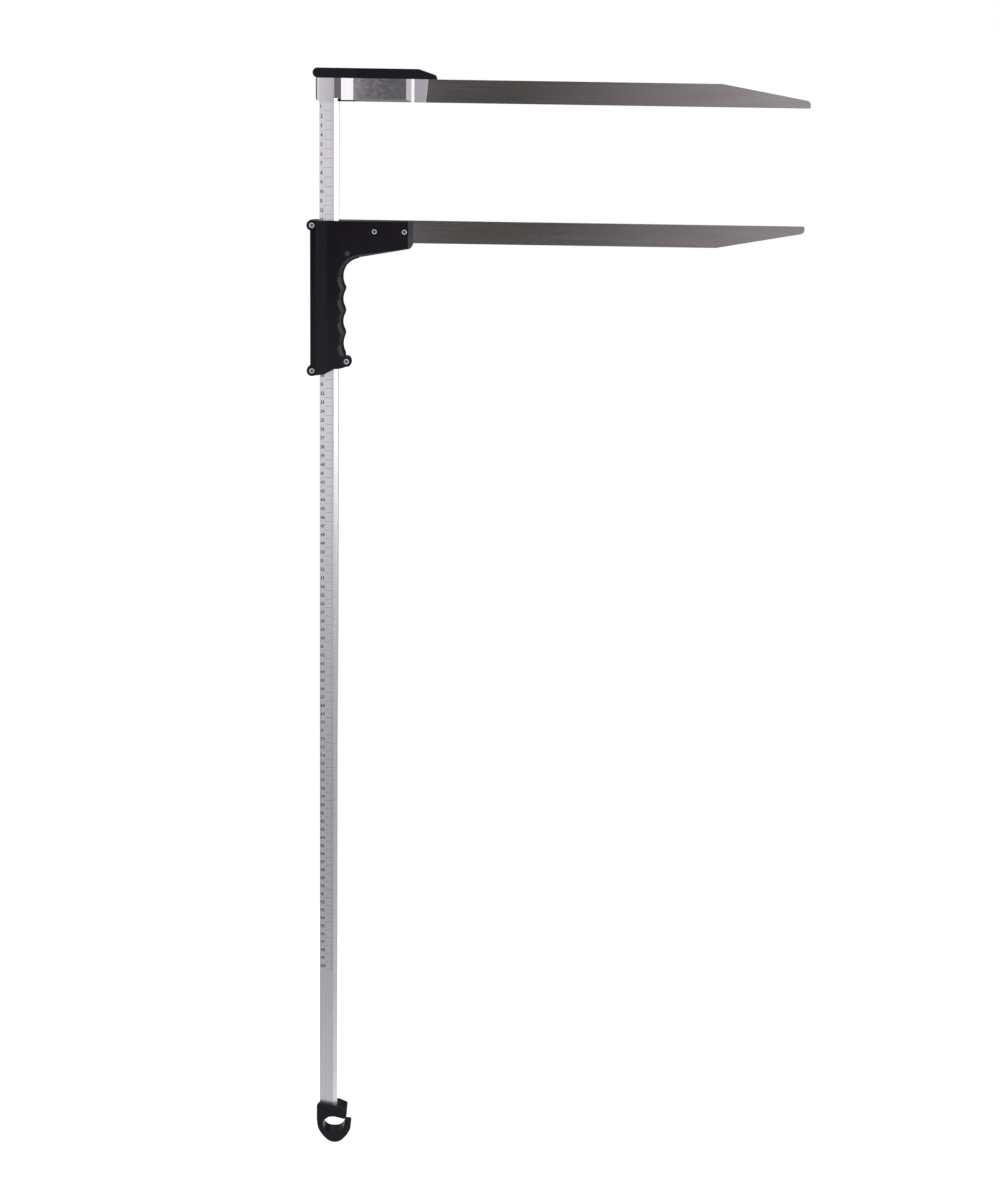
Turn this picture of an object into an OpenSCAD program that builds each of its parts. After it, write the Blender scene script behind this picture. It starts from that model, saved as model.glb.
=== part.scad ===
// Tree caliper: an upright scale beam with a fixed jaw at its top, a sliding jaw on
// a pistol-shaped grip, and a hook at the foot. Millimetres.
// Origin: zero of the scale, on the beam's centre line. +Z goes up along the beam,
// +X along the jaws and +Y away from the printed face.

/* [Beam] */
// Width of the beam across the printed face
beam_w = 20.6; // [18:0.2:26]
// Depth of the beam from front to back
beam_d = 15; // [13:0.5:18]
// Wall of the hollow beam
beam_wall = 1.8; // [1.2:0.1:2.5]
// Width of the beam's bevels on the jaw side
bevel_w = 4.6; // [2:0.2:6]
// Depth of the beam's bevels
bevel_d = 2; // [1:0.25:3]
// Length of the printed scale
scale_len = 1000; // [600:50:1200]
// Beam left below the end of the scale
beam_tail = 183; // [182:1:200]

/* [Jaws] */
// Height of both jaw blades
jaw_h = 24.5; // [23:0.5:28]
// Thickness of both jaw blades
jaw_t = 3; // [2.5:0.25:3.5]
// Reach of the jaws beyond the beam's inner side
jaw_reach = 508; // [300:1:560]
// Length of the taper at a jaw's tip
taper_len = 96; // [60:1:105]
// Slope of the taper, in degrees
taper_angle = 10; // [6:0.2:10.4]
// Radius of the outer corner at a jaw's tip
nose_r = 5; // [2:0.5:6]
// Radius of the measuring corner at a jaw's tip
tip_r = 1.5; // [1:0.25:2]
// Distance between the jaws as the caliper is drawn
reading = 125.5; // [10:0.5:500]

/* [Fixed jaw bracket] */
// Sheet thickness of the bracket
bracket_wall = 1.5; // [1:0.25:2]
// Bracket beyond the beam's outer side
bracket_lap = 4.2; // [3:0.1:6]
// Radius of the bracket's fold round the beam
fold_r = 3; // [2:0.25:4]
// Radius of the bracket's lower outer corner
bracket_corner_r = 4; // [2:0.5:6]
// Distance from the beam's centre line to the foot of the bracket's slope
slope_end = 25.8; // [22:0.1:28]
// Half depth of the bracket along its arm
arm_half = 5.2; // [4.6:0.1:6]
// Distance from the beam's centre line to the bend before the tab
bend_at = 88.3; // [86:0.1:100]
// Run of the bend down to the tab
bend_run = 3.2; // [3:0.1:6]
// Length of the tab on the blade
tab_len = 14.8; // [8:0.1:18]
// How much shorter the tab is along the measuring edge
tab_skew = 2.3; // [0:0.1:4]
// How far the tab's root stands off the blade
tab_rise = 1; // [0:0.1:1.2]
// Height of the bevelled lower margin of the bracket's arm
margin_h = 2.5; // [1.5:0.25:4]
// Height of the plastic lip at the root of the jaw
lip_h = 1.5; // [1:0.25:3]
// Distance from the beam's centre line to the root of the fixed blade
blade_root = 30; // [28:0.5:34]

/* [Top cap] */
// Height of the cap above the jaw
cap_h = 10.5; // [9:0.5:14]
// Half depth of the cap over the beam
cap_half = 11; // [10:0.5:13]
// Half depth of the cap at its thin end
cap_thin = 5.5; // [4:0.5:7]
// Cap beyond the beam's outer side
cap_lap = 7.2; // [5:0.1:9]
// Cap beyond the end of the bracket's tab
cap_over = 9.7; // [6:0.1:14]
// Length of the cap's slanting end
cap_slant = 20; // [12:0.1:26]

/* [Handle] */
// Length of the handle along the beam, to the underside of its lowest lug
handle_len = 170.8; // [150:0.1:200]
// Half depth of the handle over the beam
grip_d = 14.5; // [12.5:0.25:17]
// Distance from the beam's centre line to the handle's outer side
handle_left = 20.4; // [18:0.1:24]
// Distance from the beam's centre line to the bottom of the finger grooves
valley_x = 15.1; // [15:0.1:20]
// Height of the ridges between the finger grooves
ridge_h = 3.1; // [2:0.1:5]
// Radius of the first finger groove, which runs up to the arm
groove_r = 22; // [20:0.5:26]
// Radius of the finger grooves between the first and the last
mid_groove_r = 18; // [17:0.5:19]
// Radius of the lowest groove, which runs out to the lug
last_groove_r = 19.5; // [18:0.5:24]
// How much shallower the lowest groove is
last_groove_lift = 0.4; // [0:0.1:1]
// Distance between finger grooves
groove_pitch = 24.6; // [22:0.2:28]
// Number of finger grooves
groove_count = 4; // [3:1:4]
// Distance from the measuring edge down to the first groove
first_groove = 62.2; // [56:0.1:66]
// Width of the bevel along the finger grooves
grip_bevel = 3.2; // [1:0.1:4]
// How far the sides of the finger grooves lean in from the seam to the bevel
grip_draft = 1.7; // [0.5:0.1:2]
// Distance from the beam's centre line to the end of the handle's arm
arm_end = 91.6; // [86:0.1:110]
// Slope of the arm's underside, in degrees
arm_slope = 10.1; // [6:0.1:12]
// Half depth of the arm at its end
arm_tip_half = 9; // [8:0.25:11]
// Radius of the lugs that hold the glides
lug_r = 5.9; // [5.5:0.1:7]
// Radius of the lugs on the rear half
lug_back_r = 5; // [4.8:0.1:6]
// Handle's top below the measuring edge
top_drop = 0.8; // [0:0.1:2]
// Half length of the lugs
lug_half = 10.5; // [9.5:0.25:12]
// Wall left over the coring inside the shells
shell_wall = 3; // [2:0.25:4]

/* [Glides] */
// Half depth of the glides
glide_half = 5; // [4:0.25:5.25]
// Radius of a glide round its screw
glide_r = 4.1; // [3.6:0.1:4.2]
// Running gap between a glide and the beam
glide_gap = 0.05; // [0.02:0.01:0.1]
// Running gap between the shells and the beam's faces
slide_gap = 0.1; // [0.05:0.01:0.2]
// Gap between the shells and the beam's sides, which the glides bridge
side_gap = 0.5; // [0.3:0.05:0.8]

/* [Hook] */
// Half depth of the hook in front of the beam's middle
hook_front = 12.5; // [11:0.25:14]
// Half depth of the hook behind the beam's middle
hook_back = 10; // [9.5:0.25:12]
// Radius of the hook's eye at its sides
eye_r = 11; // [9.5:0.25:11.25]
// Distance from the scale's end down to the middle of the eye
eye_drop = 197.9; // [197.5:0.1:205]
// Height of the hook's mouth
mouth_h = 7.5; // [5:0.5:8]
// Length of the spigot inside the beam
spigot_len = 26; // [15:1:40]

/* [Screws] */
// Radius of the screw shanks
screw_r = 2; // [1.5:0.1:2]
// Radius of the socket heads
head_r = 3.5; // [3:0.1:3.6]
// Height of the socket heads
head_h = 3; // [2:0.1:3.5]
// Radius of the flush heads at the back
flush_r = 3.8; // [3:0.1:4]
// Depth of the flush heads
flush_h = 2; // [1.5:0.1:2.4]
// Half width across the flats of the nuts
nut_half = 3.5; // [3:0.1:3.6]
// Height of the nuts
nut_h = 3; // [2:0.1:3.2]
// Half width across the flats of the hexagon sockets
hex_half = 1.5; // [1:0.1:1.6]
// Radial play of a shank in a hole
play = 0.2; // [0.1:0.05:0.4]

/* [Hidden] */
$fn = 48;

// Small clearances and the overrun that a cut takes past a face
fit = 0.05;
over = 1;

// Beam
beam_x = beam_w / 2;
beam_y = beam_d / 2;
beam_foot = -(scale_len + beam_tail);
inner_x = beam_x - beam_wall;
inner_y = beam_y - beam_wall;

// Blades
jaw_tip = beam_x + jaw_reach;
jaw_y = jaw_t / 2;
taper_at = jaw_tip - taper_len;
nose_z = jaw_h - (nose_r + (taper_len - nose_r) * sin(taper_angle)) / cos(taper_angle);
blade_screw_x = [38, 58, 78];
blade_screw_z = jaw_h / 2;

// Bracket
bracket_left = -(beam_x + bracket_lap);
bracket_y = beam_y + fit + bracket_wall;
fold_drop = 0.4;
front_flat = beam_x - bevel_w;
shoulder_x = beam_x + 2.7;
shoulder_y = bracket_y - fold_drop;
tab_y = jaw_y + fit + bracket_wall;
tab_end = bend_at + bend_run + tab_len;
bend_lead = 5.6;
bend_ease = 0.5;
bevel_window_h = 3;
beam_screw_z = [jaw_h * 0.28, jaw_h * 0.64];
lip_end = slope_end + 2;
lip_inset = 0.4;

// Cap
cap_top = jaw_h + cap_h;
cap_left = -(beam_x + cap_lap);
cap_lug_r = cap_h / 2;
cap_end = tab_end + cap_over;
cap_straight = 30;
ring_r = 2.6;
ring_w = 0.7;
ring_depth = 0.6;
cap_spigot = jaw_h - beam_screw_z[1] - screw_r - play;
cap_sink = 0.5;
cap_seat = cap_top - head_h - cap_sink;
cap_screw_x = (beam_x + blade_root) / 2;
cap_screw_len = 14;

// Handle, with Z measured from the measuring edge
grip_right = valley_x + ridge_h;
groove_x = valley_x + groove_r;
last_groove_x = valley_x + last_groove_lift + last_groove_r;
last_groove_z = -first_groove - (groove_count - 1) * groove_pitch;
ridge_edge = [[1.28, 4.6], [0, 1.2], [0, -1.2], [1.28, -4.6]];
function ridge_z(i) = -first_groove - (i + 0.5) * groove_pitch;
function groove_radius(i) = i == 0 ? groove_r : mid_groove_r;
foot_edge = [[13.1, 9.1], [6, 8.5], [-5.8, 2.3], [-10.2, 1.9]];
foot_rise = 0.6;
arm_foot_x = groove_x - groove_r * sin(arm_slope);
arm_foot_z = -first_groove + groove_r * cos(arm_slope);
arm_corner = 4.4;
band_left = -14;
band_right = -1.3;
left_half = 11.3;
arm_bevel = 5.2;
arm_lip = 3.4;
face_slope = (grip_d - arm_tip_half) / (arm_end - arm_bevel - band_right);
function face_at(x) = grip_d - (x - band_right) * face_slope;
function arm_under(x) = arm_foot_z + (x - arm_foot_x) * tan(arm_slope);
bevel_start = face_at(valley_x) - grip_bevel;
handle_foot = -handle_len;
seam_wall = 1;

// Lugs and screws of the handle, as [x, z]
lug_top_left = [1.9 - handle_left, -lug_r - 0.4];
lug_bottom_left = [1.8 - handle_left, handle_foot + lug_r];
lug_bottom_right = [grip_right + 1.2, handle_foot + lug_r + 10.8];
corner = [grip_right + 2.1, -36];
lugs = [lug_top_left, lug_bottom_left, lug_bottom_right];
arm_screw_x = [49.4, arm_end - 9.5];
arm_screw_z = -jaw_h / 2;
moving_root = beam_x + side_gap + shell_wall;

// Screw seats
lug_sink = 0.4;
corner_sink = 2;
lug_seat = lug_half - head_h - lug_sink;
corner_face = face_at(corner[0]);
corner_seat = corner_face - head_h - corner_sink;
arm_seat = 5.5;
arm_head_h = 2.3;
arm_head_r = head_r - 0.3;
arm_recess_r = head_r + 1;
nut_sink = 0.6;
lug_nut_seat = lug_half - nut_h - nut_sink;
corner_nut_seat = corner_face - nut_h - nut_sink;
socket_depth = 1.6;
head_rim = 0.5;

// Coring of the shells
core_top = 18;
core_pitch = 23;
core_rows = 6;
core_rib = 2;
core_half = beam_x - 2;

// Hook, with Z measured from the middle of the eye
eye_x = 6.4;
eye_spread = 1.8;
eye_z = -(scale_len + eye_drop);
hook_left = -(beam_x + 3.6);
hook_right = beam_x + 12.2;
hook_shoulder = 28;
hook_saddle = 24.1;
hook_top_right = 19.7;
wall_top = hook_saddle + 2.5;
join_z = 8;
tip_top = -0.7;
lug_under = [[1, 9.9], [-4, 9.7], [-6.5, 8.9], [-9, 6.8]];
lug_end = hook_right - 3.5;
lug_under_right = mouth_h + tip_top;
left_edge = [[0.2, 4.5], [0.7, -0.5], [1.5, -4.6], [3.2, -8.6], [5.7, -12.6], [8.8, -16.6], [13.1, -20.6]];
right_edge = [[-4.4, -22.2], [-1.5, -23.2], [1.9, -23.5], [5.5, -22.9], [7.9, -21.8], [10.1, -20.2],
              [14.1, -16.2], [17, -12.2], [19.2, -8.1], [20.4, -4.8], [20.6, -2.8], [20, -1.4],
              [18.8, tip_top]];
hook_screw_z = beam_foot + 7;

// Plate between two depths, drawn as an outline in X and Z
module plate(y0, y1) {
    translate([0, y1, 0])
        rotate([90, 0, 0])
            linear_extrude(height = y1 - y0)
                children();
}

// Bar between two heights, drawn as a section in X and Y
module bar(z0, z1) {
    translate([0, 0, z0])
        linear_extrude(height = z1 - z0)
            children();
}

// Round rod along Y
module rod(x, z, y0, y1, r) {
    translate([x, y0, z])
        rotate([-90, 0, 0])
            cylinder(r = r, h = y1 - y0);
}

// Hexagon along Y, by half its width across the flats
module hex_rod(x, z, y0, y1, half) {
    translate([x, y0, z])
        rotate([-90, 0, 0])
            cylinder(r = half / cos(30), h = y1 - y0, $fn = 6);
}

// Socket screw whose head looks to the front: head under y_seat, shank to y_end
module socket_screw(x, z, seat, y_end, r_head, h_head) {
    difference() {
        union() {
            rod(x, z, head_rim - seat - h_head, -seat, r_head);
            translate([x, -seat - h_head, z])
                rotate([-90, 0, 0])
                    cylinder(r1 = r_head - head_rim, r2 = r_head, h = head_rim);
            rod(x, z, -seat - h_head / 3, y_end, screw_r);
        }
        hex_rod(x, z, -seat - h_head - over, -seat - h_head + socket_depth, hex_half);
    }
}

// Flush screw whose head looks to the back
module flush_screw(x, z, y_head, y_end) {
    difference() {
        union() {
            translate([x, y_head - flush_h, z])
                rotate([-90, 0, 0])
                    cylinder(r1 = screw_r, r2 = flush_r, h = flush_h);
            rod(x, z, y_end, y_head - flush_h, screw_r);
        }
        hex_rod(x, z, y_head - socket_depth, y_head + over, hex_half * 0.8);
    }
}

// Hole for a flush screw, open at the back
module flush_hole(x, z, y_head, y_end) {
    translate([x, y_head - flush_h, z])
        rotate([-90, 0, 0])
            cylinder(r1 = screw_r + fit, r2 = flush_r + fit, h = flush_h);
    rod(x, z, y_head, y_head + over, flush_r + fit);
    rod(x, z, y_end, y_head - flush_h / 2, screw_r + fit);
}

module nut(x, z, y0) {
    difference() {
        hex_rod(x, z, y0, y0 + nut_h, nut_half);
        rod(x, z, y0 - over, y0 + nut_h + over, screw_r + fit);
    }
}

// Section of the beam, grown by a gap at its faces and a gap at its sides
module beam_section(face_gap, edge_gap) {
    rise = bevel_d / bevel_w * (bevel_w + edge_gap);
    x0 = -beam_x - edge_gap;
    x1 = beam_x + edge_gap;
    y1 = beam_y + face_gap;
    polygon([[x0, -y1], [beam_x - bevel_w, -y1], [x1, rise - y1],
             [x1, y1 - rise], [beam_x - bevel_w, y1], [x0, y1]]);
}

// Outline of a jaw blade, with its measuring edge along X
module blade_outline(root) {
    polygon([[root, 0], [jaw_tip - tip_r, 0], [jaw_tip, tip_r], [jaw_tip, nose_z],
             [jaw_tip - nose_r * (1 - sin(taper_angle)), nose_z + nose_r * cos(taper_angle)],
             [taper_at, jaw_h], [root, jaw_h]]);
    translate([jaw_tip - nose_r, nose_z])
        intersection() {
            circle(r = nose_r);
            square([nose_r, nose_r]);
        }
    translate([jaw_tip - tip_r, tip_r])
        circle(r = tip_r);
}

module beam() {
    color([0.72, 0.71, 0.74])
        difference() {
            bar(beam_foot, jaw_h)
                beam_section(0, 0);
            bar(beam_foot - over, jaw_h + over)
                polygon([[-inner_x, -inner_y], [beam_x - bevel_w, -inner_y],
                         [inner_x, bevel_d - inner_y], [inner_x, inner_y - bevel_d],
                         [beam_x - bevel_w, inner_y], [-inner_x, inner_y]]);
            for (z = beam_screw_z)
                flush_hole(0, z, bracket_y, inner_y - over);
            flush_hole(0, hook_screw_z, hook_back, inner_y - over);
        }
}

module fixed_jaw_blade() {
    color([0.47, 0.45, 0.44])
        difference() {
            plate(-jaw_y, jaw_y)
                blade_outline(blade_root);
            for (x = blade_screw_x)
                rod(x, blade_screw_z, -jaw_t, jaw_t, screw_r + fit);
        }
}

// Outline that is the same in front and behind, from its front points
function mirrored(front) = concat(front, [for (i = [len(front) - 1:-1:0]) [front[i][0], -front[i][1]]]);

// Section of the bracket from x0, at a distance inside its outer face
module bracket_profile(inset, x0) {
    polygon(mirrored([[x0, inset - bracket_y], [front_flat, inset - bracket_y],
                      [shoulder_x, inset - shoulder_y], [slope_end, inset - arm_half],
                      [bend_at - bend_lead, inset - arm_half],
                      [bend_at, inset + bend_ease - arm_half],
                      [bend_at + bend_run, inset - tab_y - tab_rise],
                      [tab_end, inset - tab_y]]));
}

module bracket_section() {
    bracket_profile(0, bracket_left + fold_r);
    translate([bracket_left, fold_r - bracket_y])
        square([fold_r + over, 2 * (bracket_y - fold_r)]);
    for (side = [-1, 1])
        translate([bracket_left + fold_r, side * (bracket_y - fold_r)])
            circle(r = fold_r);
}

// Space inside the bracket on the jaw's side of the beam
module core_section(gap) {
    intersection() {
        bracket_profile(bracket_wall + gap, beam_x - beam_wall);
        translate([beam_x + gap, -beam_d])
            square([bend_at + bend_run - beam_x - 2 * gap, 2 * beam_d]);
    }
}

module jaw_bracket() {
    color([0.62, 0.61, 0.63])
        difference() {
            intersection() {
                bar(0, jaw_h)
                    bracket_section();
                plate(-beam_d, beam_d)
                    union() {
                        polygon([[bracket_left + bracket_corner_r, 0], [tab_end - tab_skew, 0],
                                 [tab_end, jaw_h], [bracket_left, jaw_h],
                                 [bracket_left, bracket_corner_r],
                                 [bracket_left + bracket_corner_r, bracket_corner_r]]);
                        translate([bracket_left + bracket_corner_r, bracket_corner_r])
                            circle(r = bracket_corner_r);
                    }
            }
            bar(-over, jaw_h + over)
                beam_section(fit, fit);
            bar(-over, jaw_h + over)
                core_section(0);
            bar(-over, jaw_h + over)
                translate([beam_x - over, -(jaw_y + fit)])
                    square([tab_end, 2 * (jaw_y + fit)]);
            translate([front_flat, -beam_d, -over])
                cube([shoulder_x - front_flat, 2 * beam_d, bevel_window_h + over]);
            translate([shoulder_x - fit, -beam_d, -over])
                cube([lip_end - shoulder_x + 2 * fit, 2 * beam_d, lip_h + over]);
            margin_cut();
            mirror([0, 1, 0])
                margin_cut();
            for (x = blade_screw_x)
                flush_hole(x, blade_screw_z, arm_half, 0);
            for (z = beam_screw_z)
                flush_hole(0, z, bracket_y, 0);
        }
}

// Bevel along the lower margin of the bracket's arm
module margin_cut() {
    translate([lip_end, 0, 0])
        rotate([90, 0, 90])
            linear_extrude(height = bend_at - slope_end - 2)
                polygon([[-arm_half - over, -over], [-arm_half + bracket_wall * 0.6, -over],
                         [-arm_half + bracket_wall * 0.6, 0], [-arm_half, margin_h],
                         [-arm_half - over, margin_h]]);
}

module jaw_core() {
    color([0.12, 0.12, 0.13])
        difference() {
            union() {
                bar(lip_h, jaw_h)
                    core_section(fit);
                bar(0, lip_h)
                    intersection() {
                        bracket_profile(lip_inset, beam_x - beam_wall);
                        translate([beam_x + 2 * fit, -beam_d])
                            square([lip_end - 2 * fit - beam_x, 2 * beam_d]);
                    }
                bar(0, lip_h)
                    intersection() {
                        core_section(fit);
                        translate([lip_end - over, -beam_d])
                            square([bend_at, 2 * beam_d]);
                    }
            }
            translate([blade_root - fit, -jaw_y - fit, -over])
                cube([jaw_tip, jaw_t + 2 * fit, jaw_h + 2 * over]);
            for (x = blade_screw_x)
                flush_hole(x, blade_screw_z, arm_half, -arm_half);
            translate([cap_screw_x, 0, jaw_h - cap_screw_len])
                cylinder(r = screw_r + fit, h = cap_screw_len + over);
        }
}

module blade_screws() {
    color([0.75, 0.75, 0.77])
        for (x = blade_screw_x)
            flush_screw(x, blade_screw_z, arm_half, fit + bracket_wall - arm_half);
}

module beam_screws() {
    color([0.75, 0.75, 0.77])
        for (z = beam_screw_z)
            flush_screw(0, z, bracket_y, inner_y - over);
}

module top_cap() {
    color([0.1, 0.1, 0.11])
        difference() {
            union() {
                intersection() {
                    plate(-cap_half, cap_half)
                        cap_outline();
                    bar(jaw_h - over, cap_top + over)
                        polygon([[cap_left - over, -cap_half], [cap_straight, -cap_half],
                                 [cap_end + over, -cap_thin], [cap_end + over, cap_thin],
                                 [cap_straight, cap_half], [cap_left - over, cap_half]]);
                }
                translate([fit - inner_x, fit - inner_y, jaw_h - cap_spigot])
                    cube([2 * (beam_x - bevel_w - fit), 2 * (inner_y - fit), cap_spigot + over]);
            }
            for (side = [-1, 1])
                translate([cap_left + cap_lug_r, side * (cap_half - ring_depth / 2), jaw_h + cap_lug_r])
                    rotate([90, 0, 0])
                        difference() {
                            cylinder(r = ring_r, h = ring_depth + fit, center = true);
                            cylinder(r = ring_r - ring_w, h = ring_depth + over, center = true);
                        }
            translate([cap_screw_x, 0, jaw_h - over])
                cylinder(r = screw_r + play, h = cap_h + 2 * over);
            translate([cap_screw_x, 0, cap_seat])
                cylinder(r = head_r + play, h = head_h + over);
        }
}

module cap_outline() {
    translate([cap_left + cap_lug_r, jaw_h + cap_lug_r])
        circle(r = cap_lug_r);
    polygon([[cap_left + cap_lug_r, jaw_h], [cap_end, jaw_h], [cap_end - 0.6, jaw_h + 2.7],
             [cap_end - 1.8, jaw_h + 4.5], [cap_end - cap_slant, cap_top],
             [cap_left + cap_lug_r, cap_top]]);
}

module cap_screw() {
    color([0.3, 0.3, 0.32])
        translate([cap_screw_x, 0, cap_seat])
            difference() {
                union() {
                    cylinder(r = head_r, h = head_h);
                    translate([0, 0, jaw_h - cap_screw_len + over - cap_seat])
                        cylinder(r = screw_r, h = cap_seat + fit - jaw_h + cap_screw_len - over);
                }
                translate([0, 0, head_h - socket_depth])
                    cylinder(r = hex_half / cos(30), h = socket_depth + over, $fn = 6);
            }
}

// Outline of the hook's bowl, with Z from the middle of the eye
module bowl_outline() {
    polygon([[hook_left, join_z], each [for (p = left_edge) [hook_left + p[0], p[1]]],
             each [for (p = right_edge) [eye_x + p[0], p[1]]], [eye_x, tip_top],
             [eye_x, join_z]]);
}

// Outline of the hook's upper part, from its left shoulder to the lug over the mouth
module lug_outline() {
    polygon([[hook_left, join_z], [hook_left, hook_shoulder - 4],
             [hook_left + 1.8, hook_shoulder - 1.5], [hook_left + 3.7, hook_shoulder],
             [beam_x - 1.3, hook_saddle], [beam_x + 2.4, hook_saddle - 0.4],
             [hook_right - 0.9, hook_top_right], [hook_right, hook_top_right - 1.5],
             [hook_right - 0.6, lug_under_right + 3.5], [hook_right - 1.7, lug_under_right + 1.1],
             [lug_end, lug_under_right], each [for (p = lug_under) [eye_x + p[0], p[1]]],
             [eye_x - 9, join_z - over], [hook_left + over, join_z - over]]);
}

module hook_outline() {
    difference() {
        union() {
            bowl_outline();
            lug_outline();
        }
        intersection() {
            union() {
                for (side = [-1, 1])
                    translate([eye_x + side * eye_spread, 0])
                        circle(r = eye_r, $fn = 96);
                translate([eye_x - eye_spread, -eye_r])
                    square([2 * eye_spread, 2 * eye_r]);
            }
            polygon([[lug_end, lug_under_right], each [for (p = lug_under) [eye_x + p[0], p[1]]],
                     [eye_x - 2 * eye_r, 0], [eye_x - 2 * eye_r, -2 * eye_r],
                     [eye_x + 2 * eye_r, -2 * eye_r], [eye_x + 2 * eye_r, lug_under_right]]);
        }
    }
}

module end_hook() {
    color([0.1, 0.1, 0.11])
        difference() {
            union() {
                difference() {
                    translate([0, 0, eye_z])
                        plate(-hook_front, hook_back)
                            hook_outline();
                    bar(beam_foot, 0)
                        beam_section(fit, fit);
                    translate([hook_left - over, -beam_y - fit, beam_foot])
                        cube([-hook_left, 4 * beam_d, spigot_len * 2]);
                }
                translate([fit - inner_x, fit - inner_y, beam_foot - over])
                    cube([2 * (beam_x - bevel_w - fit), 2 * (inner_y - fit), spigot_len + over]);
                translate([0, beam_y + fit, beam_foot - over])
                    back_wall();
            }
            flush_hole(0, hook_screw_z, hook_back, -inner_y);
        }
}

// Wall of the hook behind the beam
module back_wall() {
    translate([-beam_x + over, 0, 0])
        cube([beam_w - 2 * over, hook_back - beam_y - fit, eye_z + wall_top - beam_foot + over]);
}

module hook_screw() {
    color([0.3, 0.3, 0.32])
        flush_screw(0, hook_screw_z, hook_back, 0);
}

// Outline of the handle, with Z from the measuring edge
module handle_outline() {
    difference() {
        polygon([[-handle_left, lug_top_left[1]], [lug_top_left[0], -top_drop],
                 [arm_end, -top_drop],
                 [arm_end, arm_under(arm_end) + arm_corner],
                 [arm_end - arm_corner * 0.22, arm_under(arm_end) + arm_corner * 0.6],
                 [arm_end - arm_corner * 0.55, arm_under(arm_end) + arm_corner * 0.2],
                 [arm_end - arm_corner, arm_under(arm_end - arm_corner)],
                 [arm_foot_x, arm_foot_z], [arm_foot_x, -first_groove],
                 [grip_right, -first_groove],
                 each [for (i = [0:groove_count - 2])
                     each [for (p = ridge_edge) [grip_right - p[0], ridge_z(i) + p[1]]]],
                 [grip_right, last_groove_z], [grip_right, lug_bottom_right[1] - lug_r],
                 each [for (p = foot_edge) [p[0], p[1] + handle_foot]],
                 [lug_bottom_left[0], handle_foot + foot_rise],
                 [-handle_left, handle_foot + lug_r]]);
        for (i = [0:groove_count - 2])
            translate([valley_x + groove_radius(i), -first_groove - i * groove_pitch])
                circle(r = groove_radius(i), $fn = 96);
        translate([last_groove_x, last_groove_z])
            circle(r = last_groove_r, $fn = 96);
    }
}

// Section of the front shell, seen along the beam
module shell_section() {
    polygon([[-handle_left - over, 0], [-handle_left - over, over - left_half],
             [-handle_left, -left_half], [band_left, -grip_d], [band_right, -grip_d],
             [arm_end - arm_bevel, -arm_tip_half], [arm_end, -arm_lip], [arm_end, 0]]);
}

// Flare of one finger groove: its leaning side, then the bevel at the front face
module groove_flare(x, z, r) {
    grow = grip_d + over - bevel_start;
    translate([x, -seam_wall, z])
        rotate([90, 0, 0])
            cylinder(r1 = r, r2 = r + grip_draft, h = bevel_start - seam_wall, $fn = 96);
    translate([x, -bevel_start, z])
        rotate([90, 0, 0])
            cylinder(r1 = r + grip_draft, r2 = r + grip_draft + grow, h = grow, $fn = 96);
}

// Leaning side and bevel along the arm's underside, in line with the first groove's flare
module arm_flare() {
    grow = grip_d + over - bevel_start;
    translate([arm_foot_x, 0, arm_foot_z])
        rotate([0, -arm_slope, 0])
            rotate([90, 0, 90])
                linear_extrude(height = arm_end)
                    polygon([[-seam_wall, -over], [-seam_wall, 0], [-bevel_start, grip_draft],
                             [-bevel_start - grow, grip_draft + grow],
                             [-bevel_start - grow, -over]]);
}

// Space for one glide and its way to the beam
module glide_space(p, side) {
    rod(p[0], p[1], -glide_half - fit, over, glide_r + fit);
    x1 = side * (beam_x + over / 2);
    translate([min(p[0], x1), -glide_half - fit, p[1] - glide_r - fit])
        cube([abs(x1 - p[0]), glide_half + fit + over, 2 * (glide_r + fit)]);
}

// Half of the handle in front of the jaw, before its screw seats are cut
module handle_half(lug_radius) {
    difference() {
        union() {
            intersection() {
                plate(-grip_d, 0)
                    handle_outline();
                bar(handle_foot - over, over)
                    shell_section();
            }
            for (p = lugs)
                rod(p[0], p[1], -lug_half, 0, lug_radius);
        }
        for (i = [0:groove_count - 2])
            groove_flare(valley_x + groove_radius(i), -first_groove - i * groove_pitch,
                         groove_radius(i));
        intersection() {
            groove_flare(last_groove_x, last_groove_z, last_groove_r);
            translate([0, -2 * grip_d, lug_bottom_right[1] + lug_r])
                cube([arm_end, 2 * grip_d, -last_groove_z]);
        }
        arm_flare();
        bar(handle_foot - over, over)
            beam_section(slide_gap, side_gap);
        translate([moving_root - fit, -jaw_y - fit, -jaw_h - fit])
            cube([arm_end, jaw_y + fit + over, jaw_h + fit + over]);
        glide_space(lug_top_left, -1);
        glide_space(lug_bottom_left, -1);
        glide_space(lug_bottom_right, 1);
        glide_space(corner, 1);
        for (i = [0:core_rows - 1])
            translate([-core_half, shell_wall - grip_d, -core_top - (i + 1) * core_pitch + core_rib])
                cube([2 * core_half - bevel_w, grip_d, core_pitch - core_rib]);
        for (p = concat(lugs, [corner]))
            rod(p[0], p[1], -2 * grip_d, over, screw_r + play);
        for (x = arm_screw_x)
            rod(x, arm_screw_z, -2 * grip_d, over, screw_r + play);
    }
}

module handle_front_shell() {
    color([0.12, 0.12, 0.13])
        translate([0, 0, -reading])
            difference() {
                handle_half(lug_r);
                for (p = lugs)
                    rod(p[0], p[1], -2 * grip_d, -lug_seat, head_r + play);
                rod(corner[0], corner[1], -2 * grip_d, -corner_seat, head_r + play);
                for (x = arm_screw_x)
                    rod(x, arm_screw_z, -2 * grip_d, -arm_seat, arm_recess_r);
            }
}

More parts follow.
